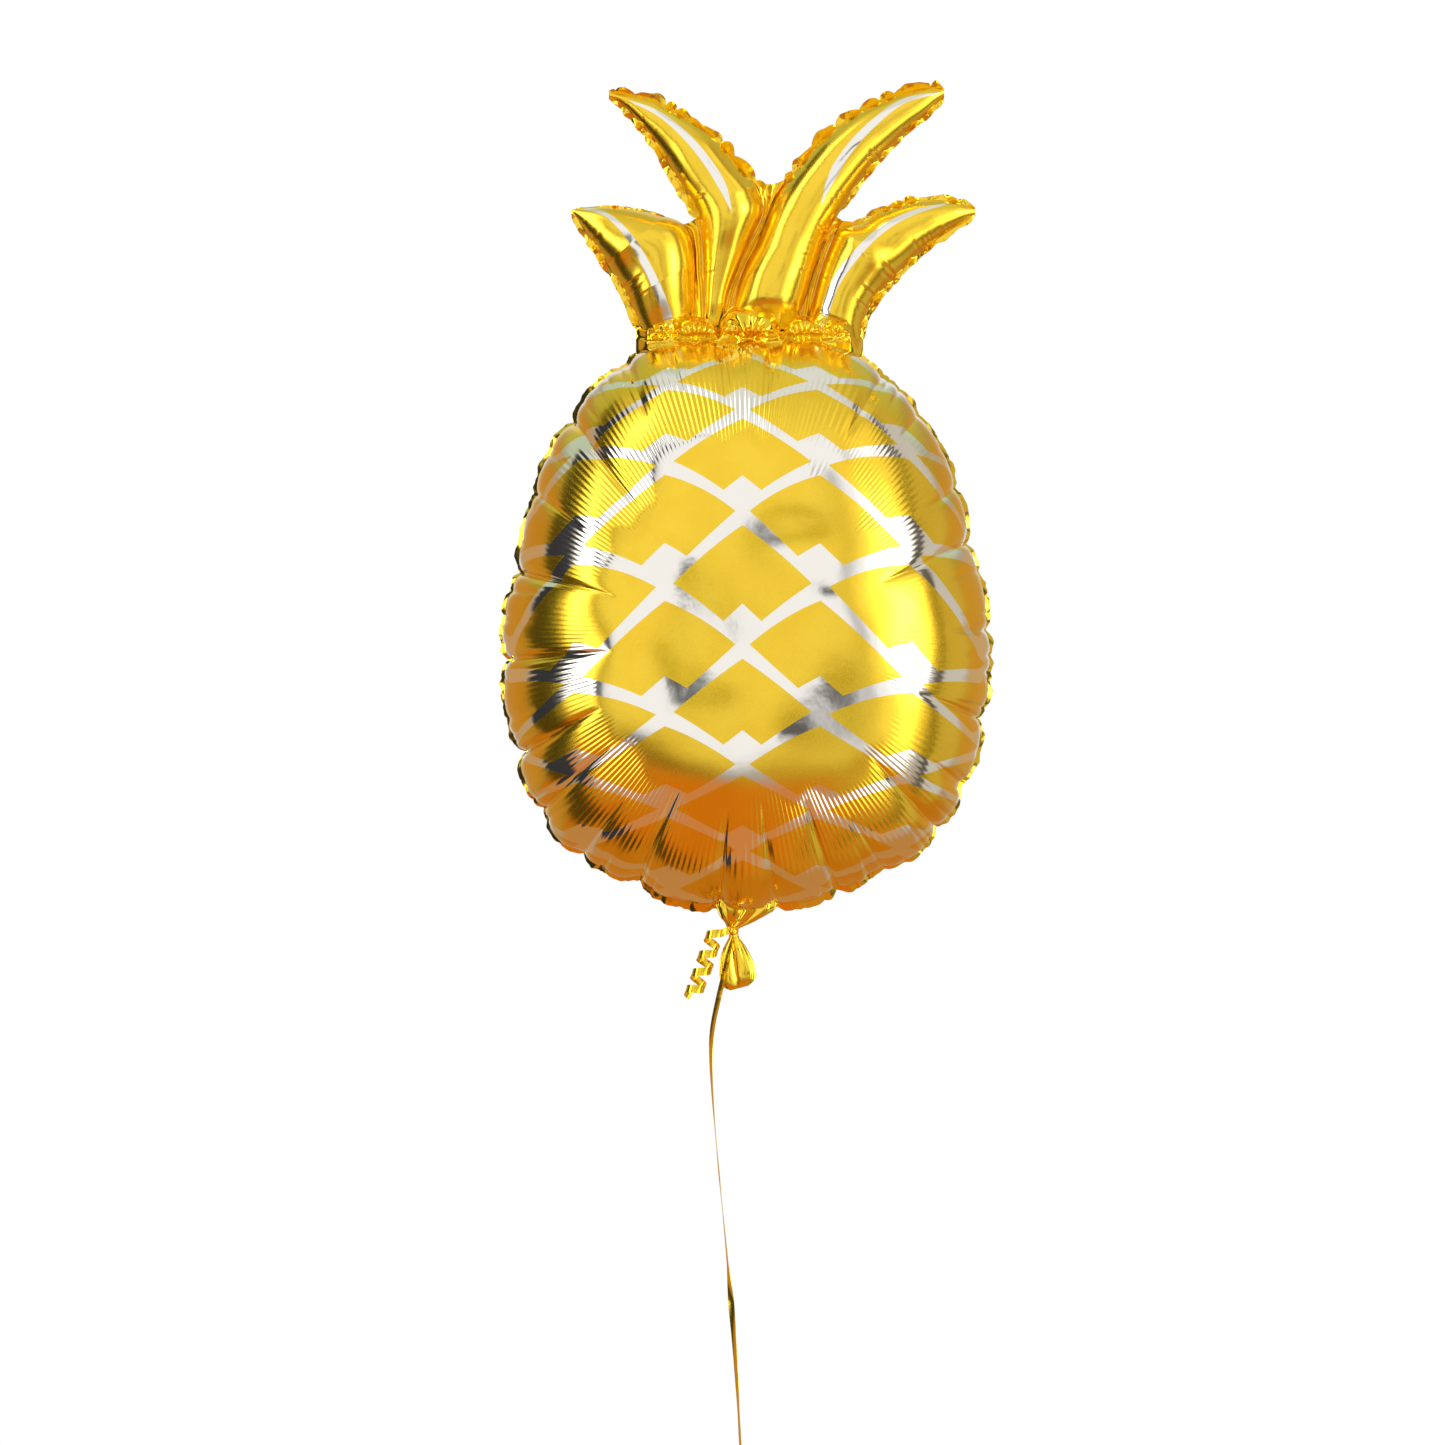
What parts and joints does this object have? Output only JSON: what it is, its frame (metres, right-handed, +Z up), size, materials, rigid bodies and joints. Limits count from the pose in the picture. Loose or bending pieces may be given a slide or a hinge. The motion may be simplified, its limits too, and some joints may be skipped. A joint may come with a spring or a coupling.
{
  "type": "foil balloon",
  "caption": "Inflated pineapple-shaped gold foil balloon with a leafy crown, heat-sealed edge, tied neck, free tail, curled ribbon end and long ribbon with hand loop.",
  "frame": {"origin": "centre of the tied neck, where the ribbon grips the gathered foil", "axes": "+Z up through the envelope to the crown, +X to the right seen from the front, +Y to the rear; the seam lies in the plane Y = 0"},
  "size_m": [0.502, 0.2932, 1.4274],
  "materials": {
    "printed_foil": "metallised film, satin gold scales printed over a bright silver lattice",
    "gold_foil": "metallised film, glossy gold",
    "valve_film": "clear thin film",
    "ribbon": "glossy metallic gold curling ribbon"
  },
  "bodies": {
    "envelope": {"body_foil_front": "printed_foil", "body_foil_rear": "printed_foil", "leaf_outer_left_foil_front": "gold_foil", "leaf_outer_left_foil_rear": "gold_foil", "leaf_inner_left_foil_front": "gold_foil", "leaf_inner_left_foil_rear": "gold_foil", "leaf_inner_right_foil_front": "gold_foil", "leaf_inner_right_foil_rear": "gold_foil", "leaf_outer_right_foil_front": "gold_foil", "leaf_outer_right_foil_rear": "gold_foil", "seam_border": "gold_foil", "neck_gather": "gold_foil", "valve_film_front": "valve_film", "valve_film_rear": "valve_film", "ribbon_wrap": "ribbon", "ribbon_knot": "ribbon", "ribbon_curl": "ribbon"},
    "tail": {"tail_root": "gold_foil", "tail_foil_front": "gold_foil", "tail_foil_rear": "gold_foil"},
    "tether": {"ribbon_tether": "ribbon", "loop_knot": "ribbon", "hand_loop": "ribbon"}
  },
  "joints": [
    {"name": "tail_flop", "type": "hinge", "parent": "envelope", "child": "tail", "pos_m": [0, 0, -0.008], "axis": [1, 0, 0], "range_deg": [-2, 60]},
    {"name": "tether_swing", "type": "hinge", "parent": "envelope", "child": "tether", "pos_m": [0, -0.0118, -0.0005], "axis": [0, 1, 0], "range_deg": [-25, 25]}
  ]
}
